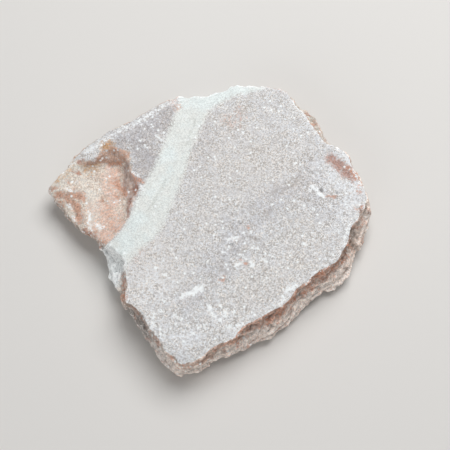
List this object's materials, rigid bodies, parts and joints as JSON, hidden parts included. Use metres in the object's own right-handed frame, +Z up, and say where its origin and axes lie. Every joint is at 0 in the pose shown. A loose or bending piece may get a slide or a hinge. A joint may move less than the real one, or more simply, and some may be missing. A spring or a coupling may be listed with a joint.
{
  "type": "raw aragonite slab",
  "caption": "Flat, hand-sized slab of raw sugary aragonite: broken ragged flanks, a chipped-out scoop at one end and a pale waxy vein across its level top.",
  "frame": {"origin": "under the middle of the slab's box, on the surface that it lies on", "axes": "+Z up through the level top face; +X along the longest side, away from the scooped end; +Y to the back, away from the pointed front corner"},
  "size_m": [0.103, 0.0972, 0.0143],
  "materials": {
    "aragonite": "rough sugary fracture, matte, with a smoother pale vein and rust-brown stains"
  },
  "bodies": {
    "root": {"aragonite_slab": "aragonite"}
  },
  "joints": []
}
